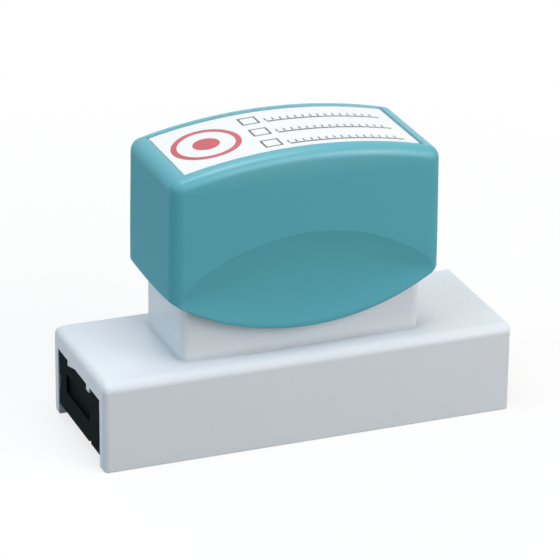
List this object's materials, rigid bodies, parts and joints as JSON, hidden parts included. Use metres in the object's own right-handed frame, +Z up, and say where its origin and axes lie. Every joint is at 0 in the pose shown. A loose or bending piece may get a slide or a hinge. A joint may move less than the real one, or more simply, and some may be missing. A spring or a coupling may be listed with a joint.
{
  "type": "pre-inked stamp",
  "caption": "Pre-inked hand stamp: open-ended skirt with a neck, a sprung plunger that carries inked dies, and a crowned pull-off handle with thumb scoops and a label window.",
  "frame": {"origin": "under the middle of the skirt, on the plane that its long walls stand on", "axes": "+X along the skirt's length, +Y from the front wall to the rear wall, +Z up towards the handle"},
  "size_m": [0.08, 0.0296, 0.0567],
  "materials": {
    "grey_plastic": "smooth moulded",
    "teal_plastic": "satin moulded",
    "printed_card": "printed paper card",
    "clear_cover": "clear polished",
    "dark_plastic": "moulded",
    "black_plastic": "moulded",
    "spring_steel": "bright wire",
    "red_felt": "ink-soaked felt",
    "black_felt": "ink-soaked felt",
    "barrier_plastic": "moulded",
    "red_die": "porous rubber",
    "black_die": "porous rubber"
  },
  "bodies": {
    "base": {"base_shell": "grey_plastic", "spring_left": "spring_steel", "spring_right": "spring_steel"},
    "plunger": {"die_mount": "black_plastic", "plunger_frame": "dark_plastic", "ink_pad_red": "red_felt", "ink_pad_black": "black_felt", "ink_barrier": "barrier_plastic", "die_red": "red_die", "die_black": "black_die", "die_frame": "black_plastic"},
    "handle": {"handle_shell": "teal_plastic", "label_card": "printed_card", "label_cover": "clear_cover"}
  },
  "joints": [
    {"name": "press", "type": "slide", "parent": "base", "child": "plunger", "axis": [0, 0, 1], "range_m": [-0.0022, 0], "stiffness_N_per_m": 800, "springref_m": 0.00375, "deforming": ["spring_left", "spring_right"]},
    {"name": "handle_pull", "type": "slide", "parent": "plunger", "child": "handle", "axis": [0, 0, 1], "range_m": [0, 0.024]}
  ]
}
